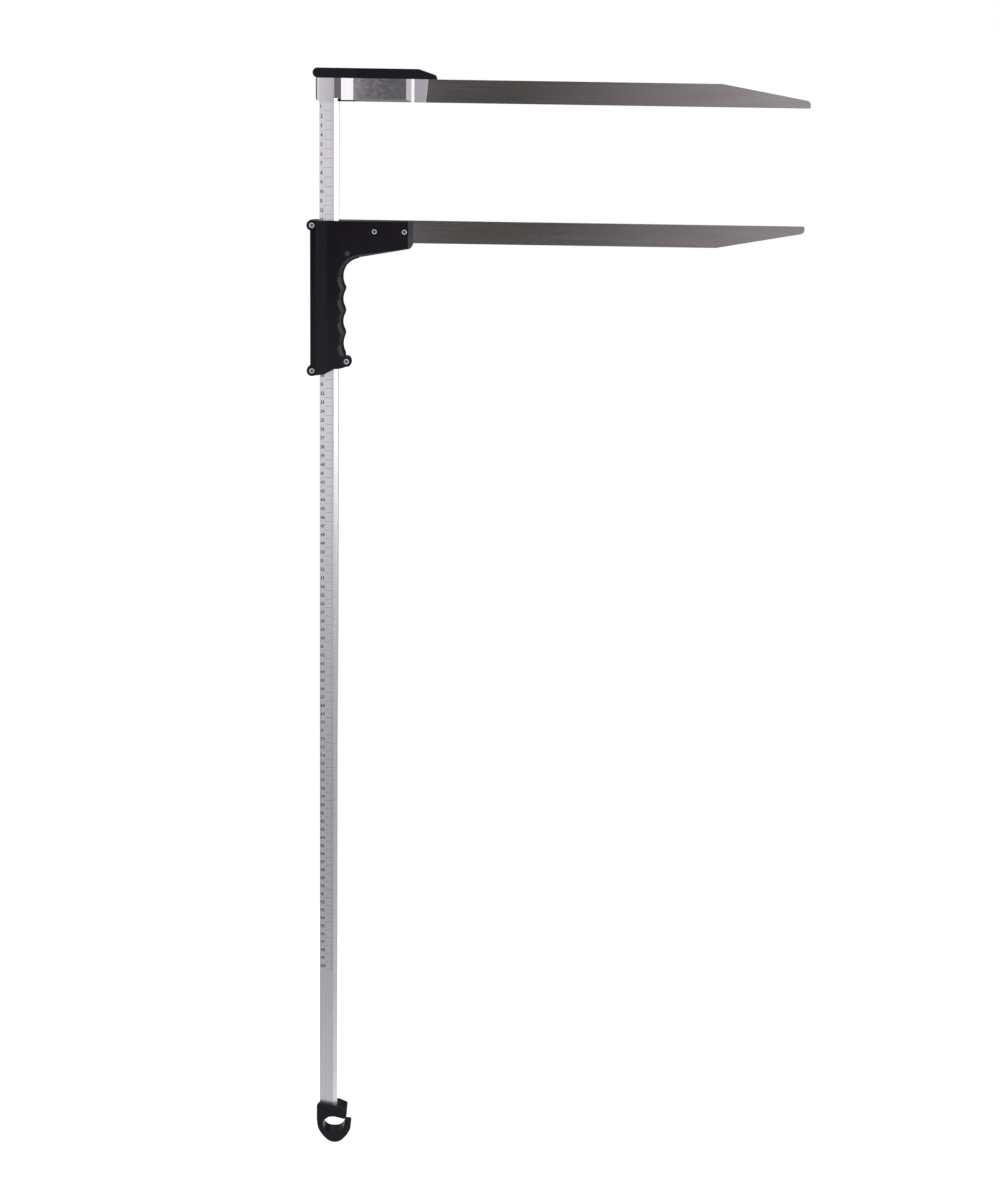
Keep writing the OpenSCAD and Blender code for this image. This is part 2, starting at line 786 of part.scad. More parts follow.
module handle_rear_shell() {
    color([0.12, 0.12, 0.13])
        translate([0, 0, -reading])
            difference() {
                mirror([0, 1, 0])
                    handle_half(lug_back_r);
                for (p = lugs)
                    hex_rod(p[0], p[1], lug_nut_seat, 2 * grip_d, nut_half + fit);
                hex_rod(corner[0], corner[1], corner_nut_seat, 2 * grip_d, nut_half + fit);
                for (x = arm_screw_x)
                    hex_rod(x, arm_screw_z, arm_seat, 2 * grip_d, nut_half + fit);
            }
}

module moving_jaw_blade() {
    color([0.47, 0.45, 0.44])
        translate([0, 0, -reading])
            difference() {
                mirror([0, 0, 1])
                    plate(-jaw_y, jaw_y)
                        blade_outline(moving_root);
                for (x = arm_screw_x)
                    rod(x, arm_screw_z, -jaw_t, jaw_t, screw_r + fit);
            }
}

// Glide round a screw at p, with its pad against the beam's side
module glide(p, side) {
    pad = side * (beam_x + glide_gap);
    color([0.2, 0.2, 0.21])
        translate([0, 0, -reading])
            difference() {
                union() {
                    rod(p[0], p[1], -glide_half, glide_half, glide_r);
                    translate([min(p[0], pad), -glide_half, p[1] - glide_r])
                        cube([abs(pad - p[0]), 2 * glide_half, 2 * glide_r]);
                }
                rod(p[0], p[1], -glide_half - over, glide_half + over, screw_r + fit);
            }
}

module glide_top_left() {
    glide(lug_top_left, -1);
}

module glide_top_right() {
    glide(corner, 1);
}

module glide_bottom_left() {
    glide(lug_bottom_left, -1);
}

module glide_bottom_right() {
    glide(lug_bottom_right, 1);
}

module lug_screws() {
    color([0.8, 0.8, 0.82])
        translate([0, 0, -reading])
            for (p = lugs)
                socket_screw(p[0], p[1], lug_seat, lug_nut_seat + nut_h, head_r, head_h);
}

module lug_nuts() {
    color([0.7, 0.7, 0.72])
        translate([0, 0, -reading])
            for (p = lugs)
                nut(p[0], p[1], lug_nut_seat);
}

module corner_screw() {
    color([0.15, 0.15, 0.16])
        translate([0, 0, -reading])
            socket_screw(corner[0], corner[1], corner_seat, corner_nut_seat + nut_h, head_r, head_h);
}

module corner_nut() {
    color([0.7, 0.7, 0.72])
        translate([0, 0, -reading])
            nut(corner[0], corner[1], corner_nut_seat);
}

module arm_screws() {
    color([0.8, 0.8, 0.82])
        translate([0, 0, -reading])
            for (x = arm_screw_x)
                socket_screw(x, arm_screw_z, arm_seat, arm_seat + nut_h, arm_head_r, arm_head_h);
}

module arm_nuts() {
    color([0.7, 0.7, 0.72])
        translate([0, 0, -reading])
            for (x = arm_screw_x)
                nut(x, arm_screw_z, arm_seat);
}

beam();
fixed_jaw_blade();
jaw_bracket();
jaw_core();
blade_screws();
beam_screws();
top_cap();
cap_screw();
end_hook();
hook_screw();
handle_front_shell();
handle_rear_shell();
moving_jaw_blade();
glide_top_left();
glide_top_right();
glide_bottom_left();
glide_bottom_right();
lug_screws();
lug_nuts();
corner_screw();
corner_nut();
arm_screws();
arm_nuts();
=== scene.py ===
"""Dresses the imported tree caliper: finishes for its solids, the printed scale and a studio."""

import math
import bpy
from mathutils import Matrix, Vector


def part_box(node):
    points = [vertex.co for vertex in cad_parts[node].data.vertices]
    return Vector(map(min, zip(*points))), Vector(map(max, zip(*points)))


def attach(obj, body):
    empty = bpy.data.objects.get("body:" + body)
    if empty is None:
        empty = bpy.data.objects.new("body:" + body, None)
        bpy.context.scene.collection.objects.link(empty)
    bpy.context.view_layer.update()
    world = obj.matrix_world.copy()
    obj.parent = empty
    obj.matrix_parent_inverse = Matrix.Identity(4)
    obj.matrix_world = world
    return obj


bl_info = {
    "name": "Tree Caliper Dressing",
    "version": (1, 0, 0),
    "blender": (4, 2, 0),
    "location": "View3D > Sidebar > Caliper",
    "description": "Finishes, printed scale and studio for the tree caliper",
    "category": "Object",
}

import bmesh
import bpy
from bpy.props import FloatProperty, FloatVectorProperty, IntProperty, PointerProperty
from mathutils import Matrix, Vector

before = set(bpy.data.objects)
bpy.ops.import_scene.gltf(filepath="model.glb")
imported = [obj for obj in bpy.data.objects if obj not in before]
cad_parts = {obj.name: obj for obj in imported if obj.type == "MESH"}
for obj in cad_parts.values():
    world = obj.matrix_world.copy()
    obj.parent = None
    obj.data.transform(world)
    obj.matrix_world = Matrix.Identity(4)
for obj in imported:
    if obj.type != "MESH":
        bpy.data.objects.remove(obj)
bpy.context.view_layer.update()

# Places on the object that its solids give, in metres
BEAM_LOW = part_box("beam")[0]
FACE_Y = BEAM_LOW.y

# Print, in metres: the space between two digits, a digit's share of its text size, its narrowing
DIGIT_GAP = 0.0003
DIGIT_SHARE = 0.70
DIGIT_NARROW = 0.86
# Lines of the scale: every how many ticks, and their two ends across the beam
TICKS = 10
SCALE_LINES = ((TICKS, -0.0042, 0.0050), (5, 0.0005, 0.0050), (1, 0.0024, 0.0050))

# Rounded mouldings: points closer than this are one, what still counts as flat, and as an edge
ONE_POINT = 0.000002
FLAT_ANGLE = math.radians(0.6)
EDGE_ANGLE = math.radians(35)

# Shaded edges: cosine between the rounded and the flat normal where an edge starts, and is full
EDGE_START, EDGE_FULL = 0.995, 0.85
# How much of the worn colour shows along the edges of metal and of plastic
WORN_METAL, WORN_PLASTIC = 0.5, 0.35
# Depth of brush lines and of moulded texture, in metres
BRUSH_DEPTH, TEXTURE_DEPTH = 0.00004, 0.00003
PLASTIC_GLOSS = 0.25


def colour(name, text, value):
    """A colour that a user may change."""
    return FloatVectorProperty(name=name, description=text, default=value, min=0.0, max=1.0,
                               size=3, subtype="COLOR")


def length(name, text, value):
    """A length in metres that a user may change."""
    return FloatProperty(name=name, description=text, default=value, min=0.0, unit="LENGTH",
                         precision=5)


class CaliperSizes(bpy.types.PropertyGroup):
    """Sizes of the print and of the worn edges."""

    scale_length: length("Scale length", "Length of the printed scale", 1.0)
    step: length("Step", "Distance between two numbered lines", 0.010)
    number_height: length("Number height", "Height of the printed numbers", 0.0037)
    number_lift: length("Number lift", "Numbers' height above their line", 0.0027)
    number_left: length("Number inset", "Numbers' distance from the beam's outer edge", 0.0011)
    number_bold: length("Number weight", "How much the numbers' strokes are thickened", 0.00012)
    line_width: length("Line width", "Thickness of the numbered lines", 0.00024)
    tick_width: length("Tick width", "Thickness of the millimetre ticks", 0.0001)
    ink_height: length("Ink height", "How far the print stands on the beam", 0.00003)
    edge_radius: length("Edge radius", "Softness of the metal's edges", 0.0002)
    moulded_radius: length("Moulded radius", "Softness of the moulded edges", 0.0006)


class CaliperColours(bpy.types.PropertyGroup):
    """Colours of the finishes, as linear values."""

    beam: colour("Beam", "Satin anodised aluminium", (0.90, 0.88, 0.925))
    blade: colour("Blade", "Brushed stainless steel", (0.50, 0.48, 0.475))
    bracket: colour("Bracket", "Bright folded sheet", (0.84, 0.83, 0.85))
    plastic: colour("Plastic", "Black moulded plastic", (0.0045, 0.0030, 0.0075))
    glide: colour("Glide", "Grey low-friction plastic", (0.10, 0.10, 0.105))
    zinc: colour("Zinc", "Bright plated screws", (0.72, 0.72, 0.73))
    blackened: colour("Blackened", "Blackened steel screws", (0.10, 0.10, 0.105))
    ink: colour("Ink", "Print on the beam", (0.02, 0.018, 0.022))


class CaliperStudio(bpy.types.PropertyGroup):
    """The camera, the lamps and the background."""

    camera_side: length("Camera side", "Camera's distance to the right of the beam", 0.154)
    camera_back: length("Camera distance", "Camera's distance in front of the beam", 2.3787)
    camera_up: length("Camera height", "Camera's height above the scale's zero", 0.0237)
    tilt: FloatProperty(name="Tilt", description="How far the camera looks down",
                        default=math.radians(13.499), subtype="ANGLE")
    roll: FloatProperty(name="Roll", description="How far the camera leans",
                        default=math.radians(0.9), subtype="ANGLE")
    lens: FloatProperty(name="Lens", description="Focal length in millimetres",
                        default=64.907, min=10.0, subtype="DISTANCE_CAMERA")
    shift: FloatProperty(name="Shift", description="Sideways shift of the picture",
                         default=0.0296)
    rise: FloatProperty(name="Rise", description="Upward shift of the picture", default=0.00038)
    room_light: FloatProperty(name="Room light", description="Strength of the light from all round",
                              default=0.5, min=0.0)
    lamp_light: FloatProperty(name="Lamp light", description="Strength of the soft lamps",
                              default=1.0, min=0.0)
    floor_drop: length("Floor", "Floor's distance below the scale's zero", 1.75)
    samples: IntProperty(name="Edge samples", description="Rays that soften an edge",
                         default=4, min=2, max=16)


def sizes():
    return bpy.context.scene.caliper_sizes


def colours():
    return bpy.context.scene.caliper_colours


def studio():
    return bpy.context.scene.caliper_studio


# Shader building

def put(tree, kind, inputs=None, **settings):
    """Adds a shader node. Its inputs are plain values or other nodes' outputs."""
    node = tree.nodes.new("ShaderNode" + kind)
    for key, value in settings.items():
        setattr(node, key, value)
    for key, value in (inputs or {}).items():
        if isinstance(value, bpy.types.NodeSocket):
            tree.links.new(value, node.inputs[key])
        else:
            node.inputs[key].default_value = value
    return node


def grain(tree, coords, scale, detail=3.0, distortion=0.0):
    """Noise stretched by a scale for each axis, from 0 to 1."""
    mapping = put(tree, "Mapping", {"Vector": coords, "Scale": scale})
    return put(tree, "TexNoise", {"Vector": mapping.outputs[0], "Scale": 1.0, "Detail": detail,
                                  "Distortion": distortion}).outputs[0]


def spread(tree, value, low, high, to_low, to_high):
    """Maps a range of a value to another range."""
    return put(tree, "MapRange", {0: value, 1: low, 2: high, 3: to_low, 4: to_high}).outputs[0]


def tint(tree, factor, first, second):
    """Mixes two colours by a factor."""
    return put(tree, "Mix", {0: factor, 6: first, 7: second}, data_type="RGBA").outputs[2]


def times(tree, first, second):
    return put(tree, "Math", {0: first, 1: second}, operation="MULTIPLY").outputs[0]


def fill_ramp(ramp, stops):
    """Gives a colour ramp its stops, each a place from 0 to 1 and a colour."""
    while len(ramp.elements) > 1:
        ramp.elements.remove(ramp.elements[-1])
    first = ramp.elements[0]
    first.position, first.color = stops[0][0], (*stops[0][1], 1.0)
    for place, rgb in stops[1:]:
        ramp.elements.new(place).color = (*rgb, 1.0)


def shade(rgb, level):
    """A colour made lighter or darker, with its alpha."""
    return (*[min(1.0, c * level) for c in rgb], 1.0)


def start_material(name):
    """A material with its shader and the object's own coordinates in metres."""
    material = bpy.data.materials.new(name)
    material.use_nodes = True
    tree = material.node_tree
    tree.nodes.clear()
    output = put(tree, "OutputMaterial")
    shader = put(tree, "BsdfPrincipled")
    tree.links.new(shader.outputs[0], output.inputs[0])
    return material, tree, shader, put(tree, "TexCoord").outputs["Object"]


def soft_edges(tree, radius):
    """A normal that rounds the edges, and a mask that is 1 along them."""
    rounded = put(tree, "Bevel", {"Radius": radius}, samples=studio().samples).outputs[0]
    flat = put(tree, "NewGeometry").outputs["True Normal"]
    match = put(tree, "VectorMath", {0: rounded, 1: flat}, operation="DOT_PRODUCT")
    return rounded, spread(tree, match.outputs["Value"], EDGE_START, EDGE_FULL, 0.0, 1.0)


def brushed_metal(name, rgb, along, rough, streaks=0.10, clouds=0.06, worn=1.25, relief=0.08,
                  cloud_scale=(30.0, 30.0, 30.0), distortion=0.0):
    """Metal with brush lines, faint clouds of wear and brighter edges."""
    material, tree, shader, coords = start_material(name)
    lines = grain(tree, coords, along, 5.0)
    cloud = grain(tree, coords, cloud_scale, 4.0, distortion)
    body = tint(tree, spread(tree, lines, 0.3, 0.7, 0.0, 1.0), shade(rgb, 1.0 - streaks),
                shade(rgb, 1.0 + streaks))
    veiled = tint(tree, spread(tree, cloud, 0.35, 0.7, 0.0, 1.0), body,
                  shade(rgb, 1.0 - clouds * 2))
    rounded, edge = soft_edges(tree, sizes().edge_radius)
    tree.links.new(tint(tree, times(tree, edge, WORN_METAL), veiled, shade(rgb, worn)),
                   shader.inputs["Base Color"])
    roughness = spread(tree, lines, 0.25, 0.75, rough[0], rough[1])
    tree.links.new(roughness, shader.inputs["Roughness"])
    bump = put(tree, "Bump", {"Strength": relief, "Distance": BRUSH_DEPTH, "Height": lines,
                              "Normal": rounded})
    tree.links.new(bump.outputs[0], shader.inputs["Normal"])
    shader.inputs["Metallic"].default_value = 1.0
    return material, tree, shader


def shaded_hollows(tree, shader, depth, darkest):
    """Paints shade into a metal's colour inside sockets and other narrow hollows, where an
    occlusion test finds them.
    """
    clean = shader.inputs["Base Color"].links[0].from_socket
    # Occlusion mask: painted shade, dark colour mixed in where hollows would be shaded
    hollow_shade_mask = put(tree, "AmbientOcclusion", {"Distance": depth}, samples=8).outputs["AO"]
    tree.links.new(tint(tree, spread(tree, hollow_shade_mask, 0.55, 0.9, 0.0, 1.0), (*darkest, 1.0), clean),
                   shader.inputs["Base Color"])


def moulded_plastic(name, rgb, rough, texture=2600.0, relief=0.25):
    """Black moulding with a fine spark-eroded texture, rubbed smoother along its edges."""
    material, tree, shader, coords = start_material(name)
    fine = grain(tree, coords, (texture, texture, texture), 2.0)
    cloud = grain(tree, coords, (35.0, 35.0, 18.0), 4.0, 0.4)
    rounded, edge = soft_edges(tree, sizes().moulded_radius)
    body = tint(tree, spread(tree, cloud, 0.3, 0.7, 0.0, 1.0), shade(rgb, 0.85), shade(rgb, 1.2))
    worn = tint(tree, times(tree, edge, WORN_PLASTIC), body, shade(rgb, 2.4))
    tree.links.new(worn, shader.inputs["Base Color"])
    handled = spread(tree, cloud, 0.25, 0.75, rough[0], rough[1])
    tree.links.new(handled, shader.inputs["Roughness"])
    bump = put(tree, "Bump", {"Strength": relief, "Distance": TEXTURE_DEPTH, "Height": fine,
                              "Normal": rounded})
    tree.links.new(bump.outputs[0], shader.inputs["Normal"])
    shader.inputs["Specular IOR Level"].default_value = PLASTIC_GLOSS
    return material


def give(material, slot, *nodes):
    """Assigns a material to the solids' own slots."""
    for name in nodes:
        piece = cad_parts[name]
        piece.data.materials.clear()
        piece.data.materials.append(material)


def round_edges(piece, radius, split):
    """Rounds the edges of a solid, whose flat faces are first made whole, and split if asked."""
    join = piece.modifiers.new("join", "WELD")
    join.merge_threshold = ONE_POINT
    flat = piece.modifiers.new("flat", "DECIMATE")
    flat.decimate_type = "DISSOLVE"
    flat.angle_limit = FLAT_ANGLE
    if split:
        piece.modifiers.new("parts", "TRIANGULATE").ngon_method = "BEAUTY"
    edges = piece.modifiers.new("edges", "BEVEL")
    edges.width = radius
    edges.segments = 3
    edges.limit_method = "ANGLE"
    edges.angle_limit = EDGE_ANGLE
    edges.use_clamp_overlap = False
    edges.harden_normals = True


# Mesh building

def mesh_piece(name, bm, material, body):
    """Turns a bmesh into a piece that rides on a body."""
    bmesh.ops.recalc_face_normals(bm, faces=bm.faces)
    mesh = bpy.data.meshes.new(name)
    bm.to_mesh(mesh)
    bm.free()
    mesh.materials.append(material)
    piece = bpy.data.objects.new(name, mesh)
    bpy.context.scene.collection.objects.link(piece)
    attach(piece, body)
    return piece


def add_block(bm, low, high):
    """A closed block between two corners."""
    corners = [Vector((x, y, z)) for x in (low[0], high[0]) for y in (low[1], high[1])
               for z in (low[2], high[2])]
    verts = [bm.verts.new(c) for c in corners]
    for face in ((0, 1, 3, 2), (4, 6, 7, 5), (0, 4, 5, 1), (2, 3, 7, 6), (0, 2, 6, 4),
                 (1, 5, 7, 3)):
        bm.faces.new([verts[i] for i in face])


def digit_meshes(height, thick):
    """The ten digits as thin closed meshes, with the width of each."""
    made = []
    for digit in "0123456789":
        curve = bpy.data.curves.new("digit_" + digit, "FONT")
        curve.body = digit
        curve.size = height / DIGIT_SHARE
        curve.extrude = thick / 2
        curve.offset = sizes().number_bold
        curve.resolution_u = 3
        holder = bpy.data.objects.new("digit_" + digit, curve)
        bpy.context.scene.collection.objects.link(holder)
        bpy.context.view_layer.update()
        graph = bpy.context.evaluated_depsgraph_get()
        mesh = bpy.data.meshes.new_from_object(holder.evaluated_get(graph))
        low = min(v.co.x for v in mesh.vertices)
        high = max(v.co.x for v in mesh.vertices)
        mesh.transform(Matrix.Translation((-low, 0, 0)))
        made.append((mesh, high - low))
        bpy.data.objects.remove(holder)
    return made


# Studio

# What metal mirrors round the horizon: degrees to the right of the camera, and colour
ROOM = (
    (-180.0, (0.25, 0.24, 0.25)), (-172.0, (0.06, 0.05, 0.05)), (-140.0, (0.50, 0.50, 0.50)),
    (-128.0, (0.85, 0.85, 0.85)), (-112.0, (0.45, 0.44, 0.45)), (-80.0, (0.12, 0.11, 0.11)),
    (-42.0, (0.15, 0.15, 0.15)), (-30.0, (0.80, 0.79, 0.81)), (-22.0, (1.20, 1.17, 1.22)),
    (-9.0, (1.20, 1.17, 1.22)), (-6.0, (0.93, 0.91, 0.94)), (-3.6, (0.88, 0.86, 0.89)),
    (-3.35, (0.03, 0.029, 0.03)), (-2.7, (0.085, 0.081, 0.085)), (-2.2, (0.14, 0.135, 0.14)),
    (-1.5, (0.18, 0.174, 0.18)), (-1.15, (0.030, 0.027, 0.025)), (-0.4, (0.045, 0.040, 0.036)),
    (1.2, (0.088, 0.079, 0.072)), (2.8, (0.165, 0.15, 0.15)), (4.7, (0.31, 0.285, 0.305)),
    (5.7, (0.42, 0.385, 0.42)), (7.6, (0.54, 0.495, 0.54)), (12.0, (0.95, 0.92, 0.95)),
    (18.0, (1.15, 1.13, 1.15)), (34.0, (1.15, 1.13, 1.15)), (75.0, (2.2, 2.2, 2.3)),
    (104.0, (2.2, 2.2, 2.3)), (118.0, (0.8, 0.8, 0.8)), (130.0, (0.10, 0.09, 0.09)),
    (172.0, (0.06, 0.05, 0.05)), (180.0, (0.25, 0.24, 0.25)))
# What it mirrors of the floor: metres in front of the object, less than 0 behind, and how pale
FLOOR = (
    (-14.0, 0.06), (-4.5, 0.06), (-3.0, 1.2), (0.5, 1.5), (0.9, 0.60), (1.21, 0.42), (1.36, 0.36),
    (1.68, 0.31), (1.86, 0.28), (2.06, 0.24), (2.3, 0.20), (2.8, 0.20), (3.35, 0.23), (3.7, 0.26),
    (4.1, 0.30), (4.5, 0.36), (5.0, 0.42), (5.6, 0.50), (6.2, 0.56), (7.0, 0.64), (7.9, 0.74),
    (10.4, 0.85), (14.0, 1.0))
# How far the floor reaches, and where the room's bands start to fade upwards and are gone
FLOOR_REACH = 14.0
BANDS_FADE, BANDS_END = math.radians(25), math.radians(50)
# What the lamps look at
LAMP_AIM = (0.2, 0.0, -0.35)
# Soft boxes: name, radiance, size, place, and if metal mirrors it
LAMPS = (("right_softbox", 2.6, (0.8, 1.9), (1.9, -1.45, 0.1), True),
         ("left_softbox", 1.0, (1.1, 2.2), (-1.9, -1.6, 0.1), False),
         ("top_softbox", 1.2, (1.8, 1.4), (0.2, -0.7, 1.9), True))


# Operators

class CALIPER_OT_beam(bpy.types.Operator):
    """Satin anodised finish, with the extrusion's faint lines, on the beam"""

    bl_idname = "caliper.beam"
    bl_label = "Beam"

    def execute(self, context):
        material, tree, shader = brushed_metal(
            "satin_anodised", colours().beam, along=(900.0, 900.0, 5.0), rough=(0.20, 0.28),
            streaks=0.03, clouds=0.02, worn=1.1, relief=0.05, cloud_scale=(60.0, 60.0, 14.0))
        shader.inputs["Metallic"].default_value = 0.75
        give(material, "anodised_beam", "beam")
        return {"FINISHED"}


class CALIPER_OT_blades(bpy.types.Operator):
    """Lengthways brush lines on both jaw blades, the moving one a little duller"""

    bl_idname = "caliper.blades"
    bl_label = "Blades"

    def execute(self, context):
        for node, level in (("fixed_jaw_blade", 1.0), ("moving_jaw_blade", 0.82)):
            material, tree, shader = brushed_metal(
                "brushed_" + node, [c * level for c in colours().blade],
                along=(9.0, 1500.0, 1500.0), rough=(0.10, 0.14), streaks=0.06, clouds=0.04,
                worn=1.3, relief=0.05, cloud_scale=(16.0, 60.0, 90.0))
            give(material, "stainless_blade", node)
        return {"FINISHED"}


class CALIPER_OT_bracket(bpy.types.Operator):
    """Bright folded sheet round the beam's top, with rubbed swirls along its arm"""

    bl_idname = "caliper.bracket"
    bl_label = "Bracket"

    def execute(self, context):
        material, tree, shader = brushed_metal(
            "folded_sheet", colours().bracket, along=(170.0, 170.0, 220.0), rough=(0.05, 0.09),
            streaks=0.035, clouds=0.02, worn=1.15, relief=0.02,
            cloud_scale=(130.0, 130.0, 130.0), distortion=2.5)
        give(material, "bracket_steel", "jaw_bracket")
        return {"FINISHED"}


class CALIPER_OT_mouldings(bpy.types.Operator):
    """Black moulded plastic on the handle, the cap, the filler and the hook"""

    bl_idname = "caliper.mouldings"
    bl_label = "Mouldings"

    def execute(self, context):
        black = colours().plastic
        grip = moulded_plastic("moulded_grip", black, rough=(0.12, 0.19))
        fitting = moulded_plastic("moulded_fitting", black, rough=(0.16, 0.24), texture=1900.0)
        glide = moulded_plastic("glide_plastic", colours().glide, rough=(0.3, 0.4),
                                texture=3000.0, relief=0.1)
        hook = moulded_plastic("moulded_hook", black, rough=(0.34, 0.44), texture=1900.0)
        give(grip, "black_plastic", "handle_front_shell", "handle_rear_shell")
        give(fitting, "black_plastic", "jaw_core", "top_cap")
        give(hook, "black_plastic", "end_hook")
        for name, radius, split in (("handle_front_shell", 0.0003, False),
                                    ("handle_rear_shell", 0.0003, True),
                                    ("top_cap", 0.0004, False), ("end_hook", 0.0012, False)):
            round_edges(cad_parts[name], radius, split)
        give(glide, "glide_plastic", "glide_top_left", "glide_top_right", "glide_bottom_left",
             "glide_bottom_right")
        return {"FINISHED"}


class CALIPER_OT_screws(bpy.types.Operator):
    """Zinc plating and blackened steel on the screws and nuts"""

    bl_idname = "caliper.screws"
    bl_label = "Screws"

    def execute(self, context):
        turned = (700.0, 700.0, 700.0)
        zinc, tree, shader = brushed_metal(
            "zinc_plating", colours().zinc, along=turned, rough=(0.2, 0.32), streaks=0.06,
            clouds=0.05, worn=1.3, relief=0.05)
        # Painted shade in the screws' hex sockets and recesses
        shaded_hollows(tree, shader, depth=0.002, darkest=(0.01, 0.01, 0.01))
        blackened, tree, shader = brushed_metal(
            "blackened_steel", colours().blackened, along=turned, rough=(0.32, 0.45),
            streaks=0.15, clouds=0.1, worn=3.0, relief=0.05)
        give(zinc, "bright_screw", "blade_screws", "beam_screws", "lug_screws", "lug_nuts",
             "corner_nut", "arm_screws", "arm_nuts")
        give(blackened, "dark_screw", "cap_screw", "hook_screw", "corner_screw")
        return {"FINISHED"}


class CALIPER_OT_scale_print(bpy.types.Operator):
    """Plain numbers, centimetre lines and millimetre ticks printed on the beam"""

    bl_idname = "caliper.scale_print"
    bl_label = "Scale print"

    def execute(self, context):
        material, tree, shader, coords = start_material("scale_ink")
        rgb = colours().ink
        rub = grain(tree, coords, (300.0, 300.0, 300.0), 4.0)
        tree.links.new(tint(tree, spread(tree, rub, 0.35, 0.65, 0.0, 1.0), shade(rgb, 0.8),
                            shade(rgb, 2.0)), shader.inputs["Base Color"])
        tree.links.new(spread(tree, rub, 0.3, 0.7, 0.35, 0.55), shader.inputs["Roughness"])

        s = sizes()
        count = round(s.scale_length / s.step)
        low_y, high_y = FACE_Y - s.ink_height, FACE_Y + s.ink_height
        bm = bmesh.new()
        digits = digit_meshes(s.number_height, 2 * s.ink_height)
        for number in range(1, count + 1):
            x = BEAM_LOW.x + s.number_left
            base = -number * s.step + s.number_lift
            for letter in str(number):
                mesh, width = digits[int(letter)]
                place = (Matrix.Translation((x, FACE_Y, base))
                         @ Matrix.Scale(DIGIT_NARROW, 4, (1, 0, 0))
                         @ Matrix.Rotation(math.radians(90), 4, "X"))
                before = len(bm.verts)
                bm.from_mesh(mesh)
                bm.verts.ensure_lookup_table()
                bmesh.ops.transform(bm, matrix=place, verts=bm.verts[before:])
                x += width * DIGIT_NARROW + DIGIT_GAP
        mesh_piece("scale_numbers", bm, material, "beam_frame")

        bm = bmesh.new()
        for i in range(1, count * TICKS + 1):
            z = -i * s.step / TICKS
            every, left, right = next(line for line in SCALE_LINES if i % line[0] == 0)
            thick = s.line_width if every == TICKS else s.tick_width
            add_block(bm, (left, low_y, z - thick / 2), (right, high_y, z + thick / 2))
        mesh_piece("scale_lines", bm, material, "beam_frame")
        return {"FINISHED"}


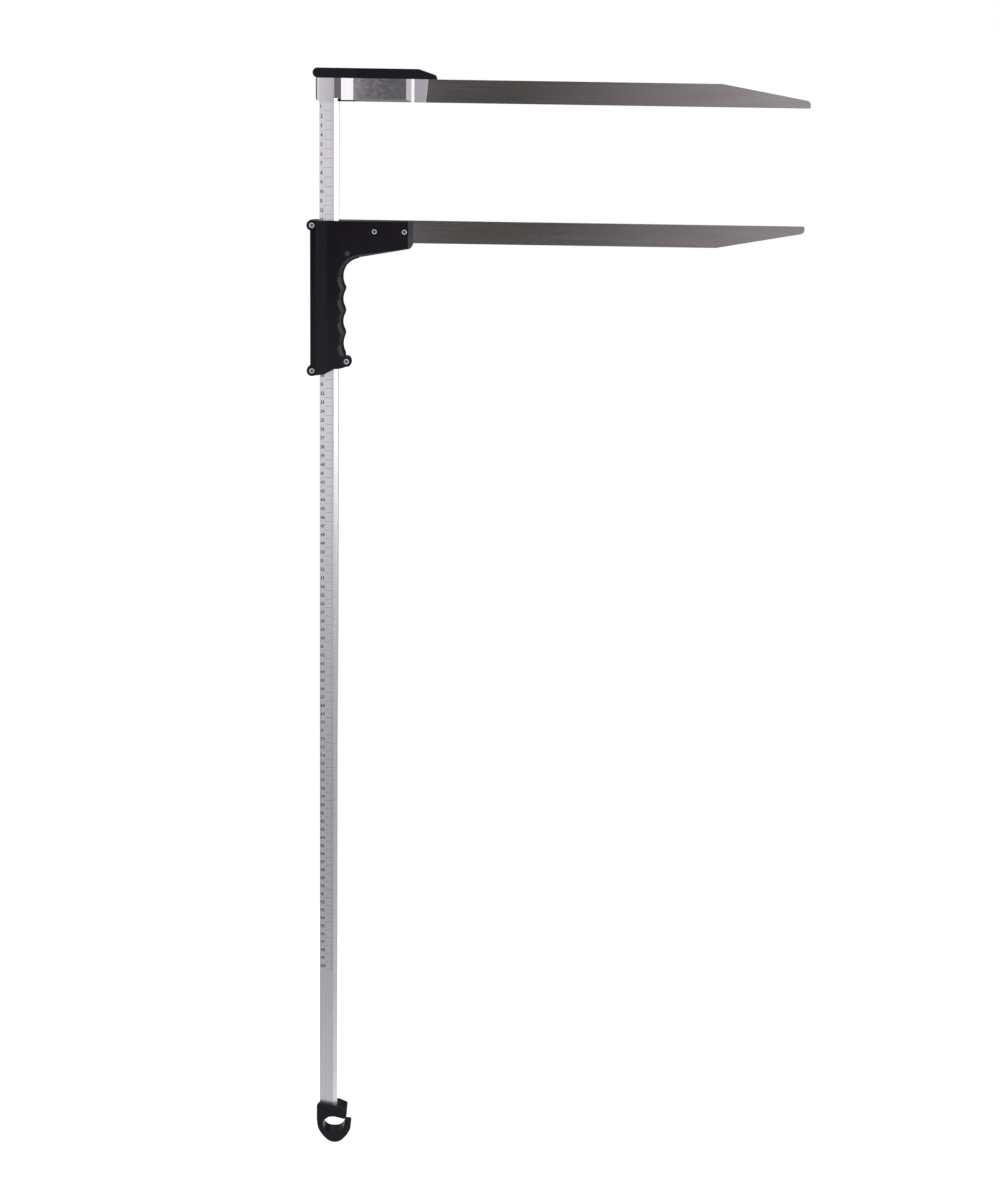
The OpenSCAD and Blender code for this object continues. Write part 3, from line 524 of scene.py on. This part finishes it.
class CALIPER_OT_stage(bpy.types.Operator):
    """White floor and surroundings, soft lamps and the camera"""

    bl_idname = "caliper.stage"
    bl_label = "Studio"

    def execute(self, context):
        self.surroundings()
        self.floor()
        self.lamps()
        self.camera()
        context.scene.view_settings.view_transform = "Standard"
        return {"FINISHED"}

    def surroundings(self):
        """White all round. What is glossy mirrors the room's bands of light and dark instead."""
        world = bpy.data.worlds.new("white_room")
        world.use_nodes = True
        tree = world.node_tree
        tree.nodes.clear()
        way = put(tree, "SeparateXYZ", {0: put(tree, "TexCoord").outputs["Generated"]}).outputs
        front = times(tree, way[1], -1.0)
        turn = put(tree, "Math", {0: way[0], 1: front}, operation="ARCTAN2").outputs[0]
        room = put(tree, "ValToRGB", {0: spread(tree, turn, -math.pi, math.pi, 0.0, 1.0)})
        fill_ramp(room.color_ramp, [(degrees / 360 + 0.5, rgb) for degrees, rgb in ROOM])
        high = spread(tree, way[2], math.sin(BANDS_FADE), math.sin(BANDS_END), 0.0, 1.0)
        walls = tint(tree, high, room.outputs[0], (1.0, 1.0, 1.0, 1.0))
        path = put(tree, "LightPath").outputs
        light = tint(tree, path["Is Glossy Ray"], (studio().room_light,) * 3 + (1.0,), walls)
        clear = put(tree, "Math", {0: path["Is Camera Ray"], 1: path["Is Transmission Ray"]},
                    operation="MAXIMUM").outputs[0]
        back = put(tree, "Background", {"Color": tint(tree, clear, light, (1.0, 1.0, 1.0, 1.0))})
        output = put(tree, "OutputWorld")
        tree.links.new(back.outputs[0], output.inputs[0])
        bpy.context.scene.world = world

    def sheet(self, name, material, corners):
        """A flat sheet of the studio, which isn't part of the object."""
        bm = bmesh.new()
        bm.faces.new([bm.verts.new(c) for c in corners])
        mesh = bpy.data.meshes.new(name)
        bm.to_mesh(mesh)
        bm.free()
        mesh.materials.append(material)
        card = bpy.data.objects.new(name, mesh)
        bpy.context.scene.collection.objects.link(card)
        return card

    def floor(self):
        """A white floor that glossy surfaces see as pale as the ramp says."""
        material, tree, shader, coords = start_material("white_floor")
        path = put(tree, "LightPath")
        far = FLOOR_REACH
        ahead = put(tree, "SeparateXYZ", {0: coords}).outputs[1]
        ramp = put(tree, "ValToRGB", {0: spread(tree, ahead, far, -far, 0.0, 1.0)})
        fill_ramp(ramp.color_ramp, [(metres / far / 2 + 0.5, (level,) * 3)
                                    for metres, level in FLOOR])
        mirrored = path.outputs["Is Glossy Ray"]
        tree.links.new(tint(tree, mirrored, (0.9, 0.9, 0.9, 1.0), (0.0, 0.0, 0.0, 1.0)),
                       shader.inputs["Base Color"])
        shader.inputs["Roughness"].default_value = 0.9
        shader.inputs["Specular IOR Level"].default_value = 0.0
        tree.links.new(tint(tree, mirrored, (1.0, 1.0, 1.0, 1.0), ramp.outputs[0]),
                       shader.inputs["Emission Color"])
        glow = spread(tree, path.outputs["Is Camera Ray"], 0.0, 1.0, 0.0, 0.65)
        tree.links.new(put(tree, "Math", {0: glow, 1: mirrored}, operation="ADD").outputs[0],
                       shader.inputs["Emission Strength"])
        z = -studio().floor_drop
        self.sheet("floor", material, [(-far, -far, z), (far, -far, z), (far, far, z),
                                       (-far, far, z)])

    def lamps(self):
        """Soft boxes turned to the object, which the camera doesn't see."""
        for name, level, size, place, mirrored in LAMPS:
            light = bpy.data.lights.new(name, "AREA")
            light.shape = "RECTANGLE"
            light.size, light.size_y = size
            light.energy = level * studio().lamp_light * math.pi * size[0] * size[1]
            lamp = bpy.data.objects.new(name, light)
            lamp.location = place
            lamp.rotation_mode = "QUATERNION"
            away = Vector(place) - Vector(LAMP_AIM)
            lamp.rotation_quaternion = away.to_track_quat("Z", "Y")
            lamp.visible_camera = False
            lamp.visible_glossy = mirrored
            bpy.context.scene.collection.objects.link(lamp)

    def camera(self):
        """The camera, a little above the scale's zero and to the right of the beam."""
        view = studio()
        data = bpy.data.cameras.new("camera")
        data.lens = view.lens
        data.sensor_width = 36.0
        data.shift_x = view.shift
        data.shift_y = view.rise
        data.clip_end = 60.0
        camera = bpy.data.objects.new("camera", data)
        camera.matrix_world = (Matrix.Translation((view.camera_side, -view.camera_back,
                                                   view.camera_up))
                               @ Matrix.Rotation(math.radians(90) - view.tilt, 4, "X")
                               @ Matrix.Rotation(view.roll, 4, "Z"))
        bpy.context.scene.collection.objects.link(camera)
        bpy.context.scene.camera = camera


class CALIPER_PT_dressing(bpy.types.Panel):
    """Lists the caliper's pieces and their settings"""

    bl_idname = "CALIPER_PT_dressing"
    bl_label = "Tree caliper"
    bl_space_type = "VIEW_3D"
    bl_region_type = "UI"
    bl_category = "Caliper"

    def draw(self, context):
        layout = self.layout
        for operator in OPERATORS:
            layout.operator(operator.bl_idname)
        for group in (sizes(), colours(), studio()):
            box = layout.box()
            for name in group.__annotations__:
                box.prop(group, name)


GROUPS = (("caliper_sizes", CaliperSizes), ("caliper_colours", CaliperColours),
          ("caliper_studio", CaliperStudio))
OPERATORS = (CALIPER_OT_stage, CALIPER_OT_beam, CALIPER_OT_blades, CALIPER_OT_bracket,
             CALIPER_OT_mouldings, CALIPER_OT_screws, CALIPER_OT_scale_print)


def register():
    for name, group in GROUPS:
        bpy.utils.register_class(group)
        setattr(bpy.types.Scene, name, PointerProperty(type=group))
    for cls in (*OPERATORS, CALIPER_PT_dressing):
        bpy.utils.register_class(cls)


def unregister():
    for cls in (CALIPER_PT_dressing, *reversed(OPERATORS)):
        bpy.utils.unregister_class(cls)
    for name, group in reversed(GROUPS):
        delattr(bpy.types.Scene, name)
        bpy.utils.unregister_class(group)


def main():
    register()
    for operator in OPERATORS:
        area, name = operator.bl_idname.split(".")
        getattr(getattr(bpy.ops, area), name)()


if __name__ == "__main__":
    main()
